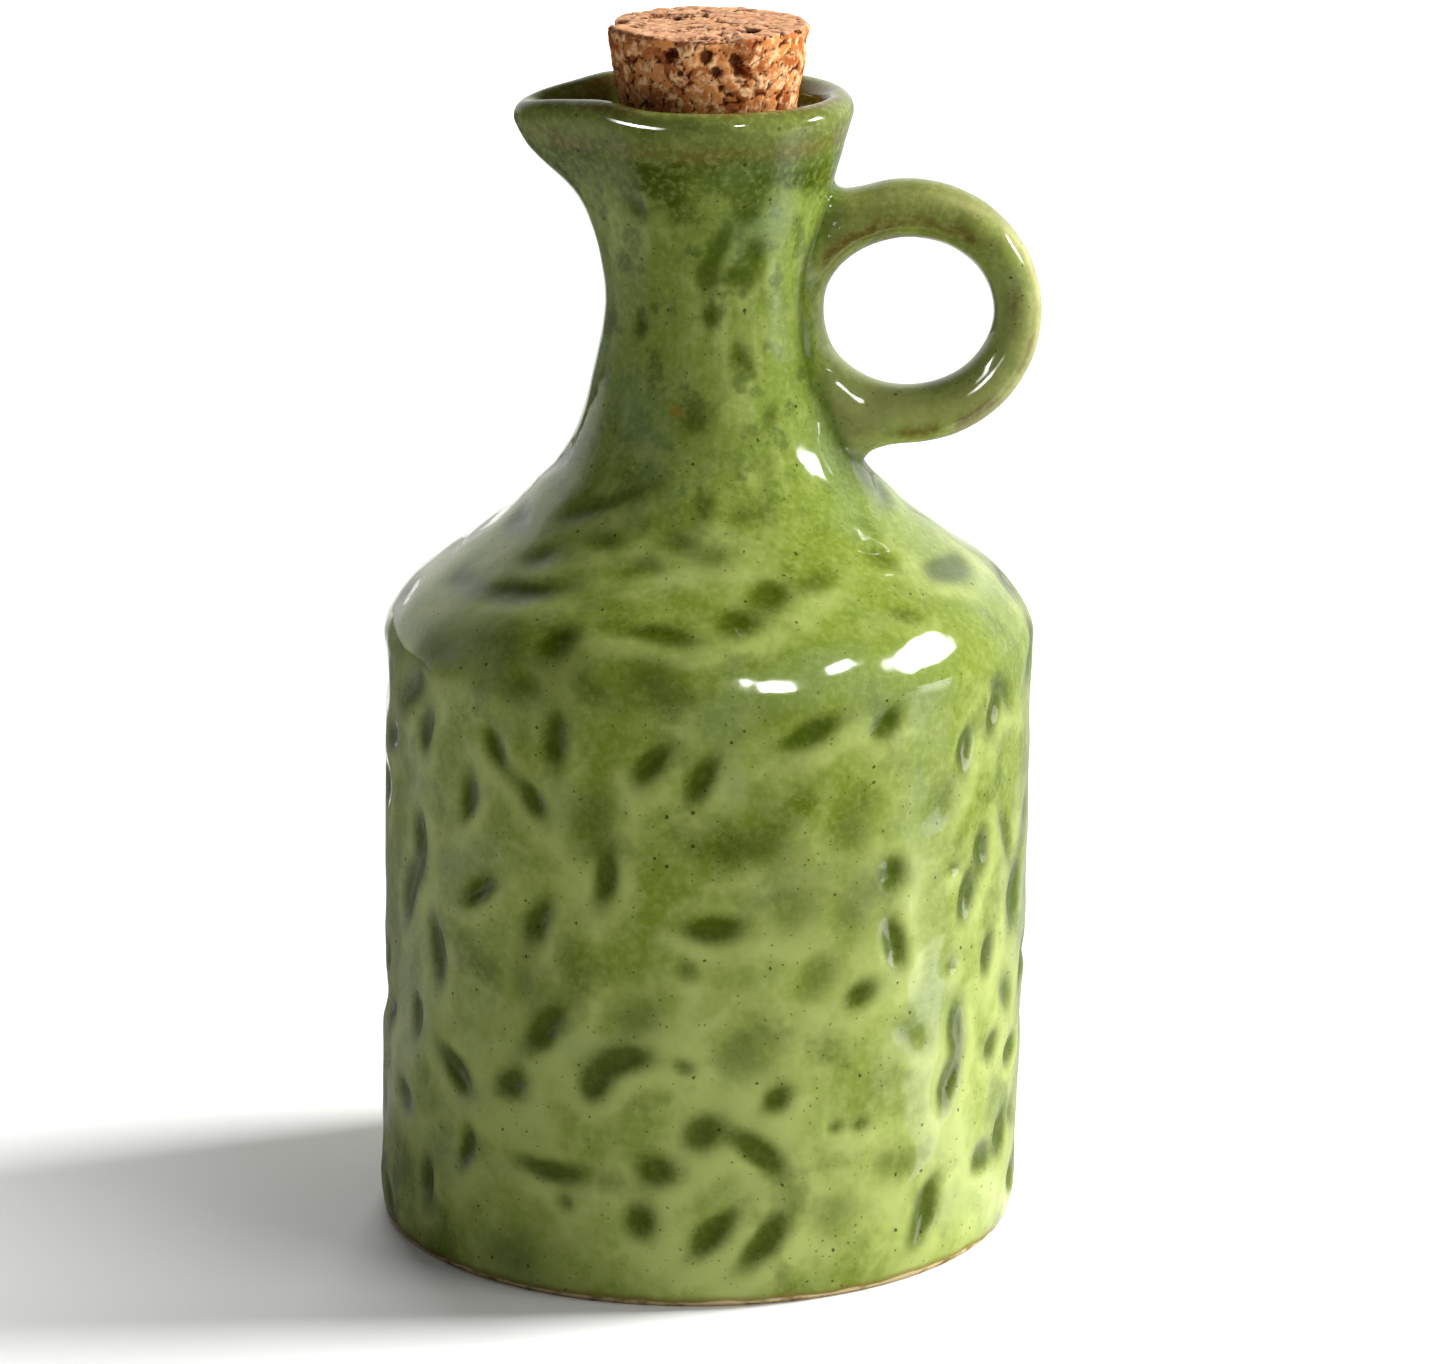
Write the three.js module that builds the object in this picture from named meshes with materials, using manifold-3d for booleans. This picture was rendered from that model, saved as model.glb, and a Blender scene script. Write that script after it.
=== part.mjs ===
// A glazed stoneware oil dispenser: a thrown round bottle with a hand-beaten wall, a pulled spout and a
// ring handle for one finger, closed by a tapered cork. Millimetres, +Z up. The origin is the middle of the
// foot. The spout points to -X and the handle to +X.

import * as THREE from 'three';
import { mergeVertices } from 'three/addons/utils/BufferGeometryUtils.js';
import Module from 'manifold-3d';

// Driving dimensions of the bottle, as radius and height
const FOOT = { radius: 45.2, bevel: 0.7 };
const WALL = { radius: 46.3, top: 87.5 };
const SHOULDER = { edgeRadius: 43.0, edgeHeight: 93.0, footRadius: 27.5, footHeight: 105.0 };
const NECK = { rootRadius: 19.5, rootHeight: 115.0, waistRadius: 14.85, waistHeight: 135.0 };
const FLARE = { lowRadius: 17.2, lowHeight: 150.0, topRadius: 19.3, topHeight: 157.5 };
const LIP = { radius: 18.3, height: 161.9, halfWidth: 2.2, halfHeight: 2.5 };
const THROAT = { radius: 9.6, top: 149.0, floor: 146.3, flareRadius: 13.8, flareHeight: 155.8 };
const LEAN = { foot: -1.8, height: 100 };

// The spout is pushed out of the round lip
const SPOUT = { reach: 7.1, middle: 153.5, softness: 2.5, halfAngle: 0.4, dip: 1.2, dipAngle: 0.25 };
const PINCH = { rise: 0.7, angle: 0.7, halfAngle: 0.25 };

// The handle is a ring of clay pressed on to the neck. Its hole is an ellipse. Its outer edge swells where
// it is worked into the neck above and below, and draws in where the neck's own wall takes over. Angles are
// degrees.
const RING = { x: 28.2, z: 132.9, outside: 19.0, depth: 9.0, middle: 15.0 };
const HOLE = { halfLength: 12.1, halfHeight: 10.7 };
const SWELLS = [
  { angle: 124, by: 1.3, width: 9 },
  { angle: -115, by: 4.0, width: 12 },
  { angle: 180, by: -2.2, width: 30 },
];
const ROOT = { deeper: 0.35, width: 35 };

// The cork
const CORK = { top: 174.2, topRadius: 14.33, edge: 0.8, bottom: 146.7, bottomRadius: 9.25 };
const CORK_WAIST = { radius: 13.4, height: 167 };

// How finely the round surfaces are faceted
const AROUND = 80;
const ROW = 3.4;
const LIP_ROWS = 7;
const THROAT_ROWS = 6;
const RING_STEPS = 42;
const RING_SIDES = 12;
const CORK_AROUND = 46;
const CORK_ROW = 1.9;

// The dents that show at the front, by the stroke that left them: half length, half width and depth of the
// mark, then the place of each, as the angle from the front (positive to the right), the height, and the
// lean from level.
const FRONT_MARKS = [
  {
    long: 1.4, wide: 1.3, deep: 0.6,
    at: [[-3, 49.5, 0], [-3.3, 36, 0], [23.5, 25.7, 0], [28.2, 25.2, 0], [-24, 14.7, 0], [48, 45.7, 0],
      [48, 60, 0]],
  },
  {
    long: 2.5, wide: 2.2, deep: 0.95,
    at: [[-30, 94, 0], [6, 97, 0], [32, 83.4, 40], [-35, 30.2, 0], [-8, 20.5, 0], [-10, 12.5, 90],
      [0.5, 26.3, 50], [13, 30.2, 0], [28, 44.5, 40], [33.3, 61, 90], [-18.9, 32.4, 90],
      [14.6, 99.6, -10], [63, 30, 0], [61, 14, 0]],
  },
  {
    long: 3.4, wide: 1.7, deep: 1.0,
    at: [[-9.5, 79, 55], [-0.7, 77.5, 68], [-26.7, 81.8, 90], [-39.2, 78.6, 120], [-46.2, 70.6, 75],
      [-31.8, 72.3, 130], [-30, 55, 70], [-43.6, 57.2, 30], [49, 28.1, 80], [59.6, 44.4, 85],
      [52, 55, 85], [56.7, 60.4, 80], [51, 76.7, 80], [60, 80, 80], [34.7, 51, 100], [50.5, 36, 85],
      [-45.8, 19, 80], [-57, 11, 85], [-61, 62, 95], [-58, 78, 80], [-61.5, 35, 80]],
  },
  {
    long: 4.6, wide: 1.8, deep: 1.05,
    at: [[-17.7, 62.3, 78], [0.7, 55.8, -6], [17.7, 82.8, 22], [-28.6, 39.7, 50], [-14.5, 36, 12],
      [10, 22.5, -45], [-49, 30, -28], [2.6, 11.6, 45], [11, 9.2, 50], [-54.6, 46.5, 100], [44, 10, 60]],
  },
  {
    long: 6.4, wide: 1.8, deep: 0.9,
    at: [[-27.1, 19, -3], [-10.5, 95.6, -4], [-46, 98, 16]],
  },
  {
    long: 4.4, wide: 3.2, deep: 0.5,
    at: [[-12, 42.3, 20], [8, 37.5, 20], [10.7, 67.5, -40], [25, 68.8, 80], [43.8, 69.8, 70],
      [39, 36.4, -20], [-33.8, 5.8, 0], [35.6, 18, 0], [22.3, 12.5, 0], [18.8, 47.3, 50],
      [-33.2, 46, -60], [14.4, 57.8, 40], [25.6, 57, 90], [-34, 87.8, 0], [-11.2, 90.4, 0],
      [-56, 90, 0], [-20, 71, 80], [3, 67, 0]],
  },
  {
    long: 3.2, wide: 1.9, deep: 0.55,
    at: [[-46, 108, 20], [-32, 110, 30], [-33, 105, 15], [-50, 102, 25], [-18.5, 102.3, 5],
      [-9.5, 105.5, 10], [1, 104, 0], [12, 108.5, 0], [-4, 109.3, 80], [43.6, 96, -15], [50, 102, -20],
      [66, 98, -20], [27, 101, 0]],
  },
  {
    long: 2.2, wide: 1.5, deep: 0.3,
    at: [[-36, 150.4, 90], [16.5, 150, 60], [24.5, 144.3, 110], [4, 146, 80], [0, 141.5, 90],
      [17, 140.4, 0], [0, 135.2, 90], [18, 129, 90], [-39, 133, 90], [30, 120.6, 90], [-8.3, 121, 60],
      [-22, 113, 90], [21, 114, 80]],
  },
];
// Round the sides and the back the wall was beaten in rough rows, laid along the outline: where the rows
// lie, in mm along the outline from the foot, how many marks stand in a row, the share left out, and each
// mark's sizes.
const FRONT_HALF_ANGLE = 64;
const HOLLOWS = [
  {
    from: 7, to: 84, rows: 8, perRow: 24, left: 0.15,
    long: [2.2, 5.4], wide: [1.6, 2.9], deep: [0.6, 1.1], turn: [0.2, 2.9],
  },
  {
    from: 94, to: 120, rows: 4, perRow: 15, left: 0.25,
    long: [2.8, 6.4], wide: [1.8, 2.5], deep: [0.45, 0.9], turn: [-0.4, 0.4],
  },
  {
    from: 128, to: 168, rows: 5, perRow: 9, left: 0.3,
    long: [2, 3], wide: [1.3, 1.8], deep: [0.2, 0.35], turn: [1.2, 1.9],
  },
];
const PITS = [
  {
    from: 11, to: 31, rows: 7, perRow: 19, left: 0.4,
    long: [1.2, 2.4], wide: [0.9, 1.5], deep: [0.25, 0.7], turn: [0, 3.1],
  },
];
// How far a mark may stray from its place in the row, as a share of the gap, and how much its size may
// differ
const STRAY = [-0.36, 0.36];
const UNEVEN = [0.85, 1.2];
// No hollow goes deeper than this, however many strokes met there
const DEEPEST = 1.8;
const FRONT_SEED = 301;
const HOLLOW_SEED = 1;
const PIT_SEED = 901;
// The piece broken off the cork's top edge
const CHIP = { angle: 2.75, along: 31.5, long: 2.6, wide: 2.2, deep: 1.5, turn: 0 };

const wasm = await Module();
wasm.setup();

// A repeatable draw between 0 and 1 for the count k.
function draw(k) {
  const s = Math.sin(k * 12.9898 + 4.1414) * 43758.5453;
  return s - Math.floor(s);
}

// An angle brought between minus and plus half a turn.
function halfTurn(angle) {
  return Math.atan2(Math.sin(angle), Math.cos(angle));
}

// The marks at the front, each at an angle from +X and at a distance along the outline.
function placed(groups, outline, along, seed) {
  const hollows = [];
  let k = seed;
  for (const group of groups) {
    for (const [angle, height, lean] of group.at) {
      const point = outline.findIndex(([, z]) => z >= height);
      const [below, above] = [outline[point - 1], outline[point]];
      const share = (height - below[1]) / (above[1] - below[1]);
      const size = UNEVEN[0] + (UNEVEN[1] - UNEVEN[0]) * draw(k++);
      hollows.push({
        angle: THREE.MathUtils.degToRad(angle - 90),
        along: along[point - 1] + share * (along[point] - along[point - 1]),
        radius: below[0] + share * (above[0] - below[0]),
        long: group.long * size,
        wide: group.wide * size,
        deep: group.deep,
        turn: THREE.MathUtils.degToRad(lean),
      });
    }
  }
  return hollows;
}

// The hollows of a list of bands, each at an angle and at a distance along an outline. A sector of so many
// degrees to each side of the front stays clear.
function scatter(bands, radiusAt, seed, clear = 0) {
  const hollows = [];
  let k = seed;
  const between = ([low, high]) => low + (high - low) * draw(k++);
  for (const band of bands) {
    for (let row = 0; row < band.rows; row++) {
      const gap = (band.to - band.from) / (band.rows - 1);
      for (let i = 0; i < band.perRow; i++) {
        const skipped = draw(k++) < band.left;
        const angle = 2 * Math.PI * (i + 0.5 * (row % 2) + between(STRAY)) / band.perRow;
        const along = band.from + gap * (row + between(STRAY));
        const hollow = {
          angle,
          along,
          radius: radiusAt(along),
          long: between(band.long),
          wide: between(band.wide),
          deep: between(band.deep),
          turn: between(band.turn),
        };
        const offFront = THREE.MathUtils.radToDeg(Math.abs(halfTurn(angle + Math.PI / 2)));
        if (!skipped && offFront >= clear) hollows.push(hollow);
      }
    }
  }
  return hollows;
}

// How deep the hollows are at one point of the surface. Where some overlap, they run into each other
// softly.
function depthAt(hollows, angle, along) {
  let left = 1;
  for (const h of hollows) {
    const dy = along - h.along;
    if (Math.abs(dy) > 3 * h.long) continue;
    const dx = halfTurn(angle - h.angle) * h.radius;
    const u = (dx * Math.cos(h.turn) + dy * Math.sin(h.turn)) / h.long;
    const v = (dy * Math.cos(h.turn) - dx * Math.sin(h.turn)) / h.wide;
    left *= 1 - h.deep / DEEPEST * Math.exp(-u * u - v * v);
  }
  return DEEPEST * (1 - left);
}

// A lathe about Z of [radius, height] points, with every vertex then moved by
// shape(vertex, point number, angle from +X).
function turned(points, around, shape) {
  const lathe = new THREE.LatheGeometry(points.map(([r, z]) => new THREE.Vector2(r, z)), around);
  lathe.rotateX(Math.PI / 2);
  const place = lathe.attributes.position;
  const v = new THREE.Vector3();
  for (let i = 0; i < place.count; i++) {
    v.fromBufferAttribute(place, i);
    shape(v, i % points.length, Math.atan2(v.y, v.x));
    place.setXYZ(i, v.x, v.y, v.z);
  }
  return lathe;
}

// The closed surface of a geometry as a solid that can be cut and joined.
function solid(geometry) {
  geometry.deleteAttribute('normal');
  geometry.deleteAttribute('uv');
  const merged = mergeVertices(geometry);
  const corners = [];
  const index = merged.index.array;
  for (let i = 0; i < index.length; i += 3) {
    const [a, b, c] = [index[i], index[i + 1], index[i + 2]];
    if (a !== b && b !== c && c !== a) corners.push(a, b, c);
  }
  return new wasm.Manifold(new wasm.Mesh({
    numProp: 3,
    vertProperties: merged.attributes.position.array,
    triVerts: new Uint32Array(corners),
  }));
}

// A named mesh of a solid.
function meshOf(name, shape, material) {
  const { vertProperties, triVerts } = shape.getMesh();
  const geometry = new THREE.BufferGeometry();
  geometry.setAttribute('position', new THREE.BufferAttribute(vertProperties, 3));
  geometry.setIndex(new THREE.BufferAttribute(triVerts, 1));
  geometry.computeVertexNormals();
  const mesh = new THREE.Mesh(geometry, material);
  mesh.name = name;
  return mesh;
}

// [radius, height] points of equal spacing along a smooth line through a few.
function smoothLine(stations, spacing) {
  const knots = stations.map(([r, z]) => new THREE.Vector3(r, 0, z));
  const line = new THREE.CatmullRomCurve3(knots, false, 'centripetal');
  const steps = Math.round(line.getLength() / spacing);
  return line.getSpacedPoints(steps).map((p) => [p.x, p.z]);
}

// How far along a list of points each one lies.
function distances(points) {
  const along = [0];
  for (let i = 1; i < points.length; i++) {
    along.push(along[i - 1] + Math.hypot(points[i][0] - points[i - 1][0], points[i][1] - points[i - 1][1]));
  }
  return along;
}

// The outline's radius at a distance along it.
function radiusAlong(points, along) {
  return (distance) => {
    const i = along.findIndex((d) => d >= distance);
    return points[i < 0 ? points.length - 1 : i][0];
  };
}

// How strongly the height z belongs to the pulled rim, from 0 on the neck to 1 at the lip.
function rimShare(z) {
  return 1 / (1 + Math.exp((SPOUT.middle - z) / SPOUT.softness));
}

// The wall of the bottle, from the foot to just under the lip.
function wallLine() {
  const straight = [];
  const rows = Math.round(WALL.top / ROW);
  for (let i = 1; i < rows; i++) straight.push([WALL.radius, WALL.top * i / rows]);
  const above = smoothLine([
    [WALL.radius, WALL.top],
    [SHOULDER.edgeRadius, SHOULDER.edgeHeight],
    [(SHOULDER.edgeRadius + SHOULDER.footRadius) / 2, (SHOULDER.edgeHeight + SHOULDER.footHeight) / 2],
    [SHOULDER.footRadius, SHOULDER.footHeight],
    [NECK.rootRadius, NECK.rootHeight],
    [NECK.waistRadius, NECK.waistHeight],
    [FLARE.lowRadius, FLARE.lowHeight],
    [FLARE.topRadius, FLARE.topHeight],
  ], ROW);
  return [[FOOT.radius, 0], [FOOT.radius + FOOT.bevel, FOOT.bevel], ...straight, ...above];
}

// The bottle, one piece of clay with its handle.
function bottle() {
  const outside = wallLine();
  const along = distances(outside);
  const hollows = [
    ...placed(FRONT_MARKS, outside, along, FRONT_SEED),
    ...scatter(HOLLOWS, radiusAlong(outside, along), HOLLOW_SEED, FRONT_HALF_ANGLE),
  ];
  const lip = [];
  for (let i = 0; i <= LIP_ROWS; i++) {
    const turn = Math.PI * (-0.15 + 1.15 * i / LIP_ROWS);
    lip.push([LIP.radius + LIP.halfWidth * Math.cos(turn), LIP.height + LIP.halfHeight * Math.sin(turn)]);
  }
  const throat = [];
  const funnel = new THREE.CubicBezierCurve(
    new THREE.Vector2(LIP.radius - LIP.halfWidth, LIP.height),
    new THREE.Vector2(LIP.radius - LIP.halfWidth, THROAT.flareHeight + 2),
    new THREE.Vector2(THROAT.flareRadius, THROAT.flareHeight - 2),
    new THREE.Vector2(THROAT.radius, THROAT.top),
  );
  for (const p of funnel.getPoints(THROAT_ROWS).slice(1)) throat.push([p.x, p.y]);
  throat.push([THROAT.radius, THROAT.floor]);

  const outline = [[0, 0], ...outside, ...lip, ...throat, [0, THROAT.floor]];
  const body = turned(outline, AROUND, (v, point, angle) => {
    const radius = Math.hypot(v.x, v.y);
    if (radius < 0.01) {
      if (v.z < LEAN.height) v.x = LEAN.foot;
      return;
    }
    const row = point - 1;
    if (row > 2 && row < outside.length) {
      const hollowed = 1 - depthAt(hollows, angle, along[row]) / radius;
      v.x *= hollowed;
      v.y *= hollowed;
    }
    const offSpout = Math.PI - Math.abs(angle);
    const rim = rimShare(v.z);
    const pulled = rim * Math.exp(-((offSpout / SPOUT.halfAngle) ** 2));
    v.x -= SPOUT.reach * pulled;
    v.z -= SPOUT.dip * rim * Math.exp(-((offSpout / SPOUT.dipAngle) ** 2));
    v.z += PINCH.rise * rim * Math.exp(-(((offSpout - PINCH.angle) / PINCH.halfAngle) ** 2));
    if (v.z < LEAN.height) v.x += LEAN.foot * (1 - v.z / LEAN.height) ** 2;
  });
  return solid(body).add(solid(handle()));
}

// A hump of height 1 at an angle, fading out over a width, all in degrees.
function hump(angle, at, width) {
  const off = THREE.MathUtils.euclideanModulo(angle - at + 180, 360) - 180;
  return Math.exp(-((off / width) ** 2));
}

// The ring handle. A torus is stretched between the edge of the hole and the outer edge.
function handle() {
  const tube = RING.outside - RING.middle;
  const ring = new THREE.TorusGeometry(RING.middle, tube, RING_SIDES, RING_STEPS);
  ring.rotateX(Math.PI / 2);
  const place = ring.attributes.position;
  for (let i = 0; i < place.count; i++) {
    const turn = Math.atan2(place.getZ(i), place.getX(i));
    const angle = THREE.MathUtils.radToDeg(turn);
    const outward = (Math.hypot(place.getX(i), place.getZ(i)) - RING.middle) / tube;
    const sideways = place.getY(i) / tube;
    const inner = 1 / Math.hypot(Math.cos(turn) / HOLE.halfLength, Math.sin(turn) / HOLE.halfHeight);
    const outer = SWELLS.reduce((sum, s) => sum + s.by * hump(angle, s.angle, s.width), RING.outside);
    const radius = (inner + outer) / 2 + outward * (outer - inner) / 2;
    const roots = hump(angle, SWELLS[0].angle, ROOT.width) + hump(angle, SWELLS[1].angle, ROOT.width);
    place.setXYZ(
      i,
      RING.x + radius * Math.cos(turn),
      sideways * (1 + ROOT.deeper * roots) * RING.depth / 2,
      RING.z + radius * Math.sin(turn),
    );
  }
  return ring;
}

// The cork, pressed from granules, with pits where some fell out and a chip off its top edge.
function cork() {
  const side = smoothLine([
    [CORK.bottomRadius, CORK.bottom + CORK.edge],
    [CORK_WAIST.radius, CORK_WAIST.height],
    [CORK.topRadius, CORK.top - CORK.edge],
  ], CORK_ROW);
  const top = [];
  for (let i = 0; i < 4; i++) top.push([(CORK.topRadius - CORK.edge) * (1 - i / 4), CORK.top]);
  const bottom = [[0, CORK.bottom], [CORK.bottomRadius - CORK.edge, CORK.bottom]];
  const points = [...bottom, ...side, ...top, [0, CORK.top]];
  const along = distances(points.slice(1));
  const pits = scatter(PITS, radiusAlong(points.slice(1), along), PIT_SEED);
  pits.push({ ...CHIP, radius: CORK.topRadius });
  return solid(turned(points, CORK_AROUND, (v, point, angle) => {
    const radius = Math.hypot(v.x, v.y);
    if (radius < 0.01 || point < 1) return;
    const pitted = 1 - depthAt(pits, angle, along[point - 1]) / radius;
    v.x *= pitted;
    v.y *= pitted;
  }));
}

const glaze = new THREE.MeshStandardMaterial({ color: 0x7d9646, roughness: 0.15, metalness: 0 });
const corkWood = new THREE.MeshStandardMaterial({ color: 0xb98355, roughness: 0.85, metalness: 0 });

const dispenser = new THREE.Group();
dispenser.add(meshOf('bottle', bottle(), glaze));
dispenser.add(meshOf('cork', cork(), corkWood));

export default dispenser;
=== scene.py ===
import math

import bmesh
import bpy
import numpy as np
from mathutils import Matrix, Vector, kdtree, noise


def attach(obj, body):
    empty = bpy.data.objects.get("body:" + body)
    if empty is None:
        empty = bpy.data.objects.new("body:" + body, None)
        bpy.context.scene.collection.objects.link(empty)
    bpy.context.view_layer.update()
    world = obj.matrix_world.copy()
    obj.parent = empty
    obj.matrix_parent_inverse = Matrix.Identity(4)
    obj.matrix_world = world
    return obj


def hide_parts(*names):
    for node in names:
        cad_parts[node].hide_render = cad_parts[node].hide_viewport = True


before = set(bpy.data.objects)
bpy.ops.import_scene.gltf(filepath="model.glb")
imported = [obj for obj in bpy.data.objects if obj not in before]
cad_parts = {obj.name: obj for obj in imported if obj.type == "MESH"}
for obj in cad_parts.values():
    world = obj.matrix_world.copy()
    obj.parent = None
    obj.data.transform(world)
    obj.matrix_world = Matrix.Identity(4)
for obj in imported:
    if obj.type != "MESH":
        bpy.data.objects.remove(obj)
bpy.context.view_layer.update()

# The camera
# A long lens about 0.9 m in front of the dispenser, looking a little down on it.
MM = 0.001
CAMERA_PLACE = (2.0 * MM, -887.9 * MM, 322.25 * MM)
CAMERA_PITCH = math.radians(15.3575)
CAMERA_LENS = 159.5
camera = bpy.data.objects.new("camera", bpy.data.cameras.new("camera"))
bpy.context.scene.collection.objects.link(camera)
bpy.context.scene.camera = camera
camera.location = CAMERA_PLACE
camera.rotation_euler = (math.pi / 2 - CAMERA_PITCH, 0, 0)
camera.data.lens = CAMERA_LENS
camera.data.sensor_width = 36

# The thrown form of the bottle
# Stoneware thrown on a wheel: a straight wall, a sloping shoulder and a slim neck that flares to a thick lip.
# It leans a hair to one side. Sizes are millimetres, and a pair is a radius and a height.
FOOT_RADIUS = 45.2
FOOT_BEVEL = 0.7
FOOT_TOP = 3.5
WALL_RADIUS = 46.3
WALL_TOP = 87.5
EDGE_EASE = 3.5
SHOULDER_EDGE = (43.0, 93.0)
SHOULDER_FOOT = (27.5, 105.0)
NECK_ROOT = (19.5, 115.0)
NECK_WAIST = (14.85, 135.0)
FLARE_LOW = (17.2, 150.0)
FLARE_TOP = (19.3, 157.5)
LIP_RADIUS = 18.3
LIP_HEIGHT = 161.9
LIP_HALF_WIDTH = 2.2
LIP_HALF_HEIGHT = 2.5
THROAT_RADIUS = 9.6
THROAT_TOP = 149.0
THROAT_FLOOR = 146.3
FUNNEL_PULLS = ((16.1, 157.8), (13.8, 153.8))
LEAN = -1.8
LEAN_HEIGHT = 100.0
AROUND = 312
ROW = 0.8
BASE_RINGS = 12
LIP_STEPS = 22
LIP_TUCKED = -0.15
FUNNEL_STEPS = 18


def smooth_line(stations, spacing):
    """Points of equal spacing along a smooth line through a few (radius, height) stations."""
    knots = np.array(stations, float)
    knots = np.vstack([2 * knots[0] - knots[1], knots, 2 * knots[-1] - knots[-2]])
    gaps = np.sqrt(np.linalg.norm(np.diff(knots, axis=0), axis=1))[:, None]
    t = np.linspace(0, 1, 60)[:, None]
    pieces = []
    for i in range(1, len(knots) - 2):
        a, b, c, d = knots[i - 1:i + 3]
        before, here, after = gaps[i - 1:i + 2]
        leave = here * ((b - a) / before - (c - a) / (before + here) + (c - b) / here)
        reach = here * ((c - b) / here - (d - b) / (here + after) + (d - c) / after)
        cubic = 2 * b - 2 * c + leave + reach
        square = 3 * c - 3 * b - 2 * leave - reach
        pieces.append(b + leave * t + square * t ** 2 + cubic * t ** 3)
    return spaced(np.vstack(pieces), spacing)


def spaced(points, spacing):
    """The same line with its points a spacing apart."""
    points = np.array(points, float)
    along = distances(points)
    wanted = np.linspace(0, along[-1], round(along[-1] / spacing) + 1)
    return np.column_stack([np.interp(wanted, along, points[:, 0]), np.interp(wanted, along, points[:, 1])])


def distances(points):
    """How far along a line each of its points lies."""
    return np.concatenate([[0], np.cumsum(np.linalg.norm(np.diff(points, axis=0), axis=1))])


def spun(outline, steps):
    """A closed bmesh of a (radius, height) outline spun about Z."""
    form = bmesh.new()
    line = [form.verts.new((r, 0, z)) for r, z in outline]
    edges = [form.edges.new(pair) for pair in zip(line, line[1:])]
    bmesh.ops.spin(form, geom=line + edges, cent=(0, 0, 0), axis=(0, 0, 1),
                   angle=2 * math.pi, steps=steps, use_merge=True)
    bmesh.ops.remove_doubles(form, verts=form.verts, dist=1e-4)
    bmesh.ops.recalc_face_normals(form, faces=form.faces)
    return form


def places(mesh):
    """The vertices of a mesh as an array of x, y and z."""
    flat = np.empty(len(mesh.vertices) * 3)
    mesh.vertices.foreach_get("co", flat)
    return flat.reshape(-1, 3)


def set_places(mesh, points):
    mesh.vertices.foreach_set("co", points.astype(np.float32).ravel())
    mesh.update()


def piece(name, form):
    """A Blender object of a bmesh, which is freed."""
    mesh = bpy.data.meshes.new(name)
    form.to_mesh(mesh)
    form.free()
    made = bpy.data.objects.new(name, mesh)
    bpy.context.scene.collection.objects.link(made)
    return made


shoulder_middle = tuple((a + b) / 2 for a, b in zip(SHOULDER_EDGE, SHOULDER_FOOT))
above = smooth_line([(WALL_RADIUS, WALL_TOP - EDGE_EASE), (WALL_RADIUS, WALL_TOP), SHOULDER_EDGE,
                     shoulder_middle, SHOULDER_FOOT, NECK_ROOT, NECK_WAIST, FLARE_LOW, FLARE_TOP], ROW)
foot = [(FOOT_RADIUS, 0), (FOOT_RADIUS + FOOT_BEVEL, FOOT_BEVEL), (WALL_RADIUS, FOOT_TOP)]
wall = spaced(foot + [(WALL_RADIUS, WALL_TOP - EDGE_EASE)], ROW)
outside = np.vstack([wall[:-1], above])
outside_along = distances(outside)
lip_turns = np.pi * np.linspace(LIP_TUCKED, 1, LIP_STEPS)
lip = np.column_stack([LIP_RADIUS + LIP_HALF_WIDTH * np.cos(lip_turns),
                       LIP_HEIGHT + LIP_HALF_HEIGHT * np.sin(lip_turns)])
t = np.linspace(0, 1, FUNNEL_STEPS)[1:, None]
funnel = ((1 - t) ** 3 * lip[-1] + 3 * (1 - t) ** 2 * t * np.array(FUNNEL_PULLS[0])
          + 3 * (1 - t) * t ** 2 * np.array(FUNNEL_PULLS[1])
          + t ** 3 * np.array((THROAT_RADIUS, THROAT_TOP)))
under_lip = spaced([outside[-1], lip[0]], ROW)[1:-1]
base = [(r, 0) for r in np.linspace(0, FOOT_RADIUS, BASE_RINGS)[:-1]]
end = [(THROAT_RADIUS, THROAT_FLOOR), (THROAT_RADIUS / 2, THROAT_FLOOR), (0, THROAT_FLOOR)]
bottle = piece("bottle_body", spun(np.vstack([base, outside, under_lip, lip, funnel, end]), AROUND))

# The beaten wall, the spout and the lean
# The wall was beaten with small round tools while the clay was leather hard, and the lip was pulled out into
# a spout with a finger, which raised it a little on both sides.

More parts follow.
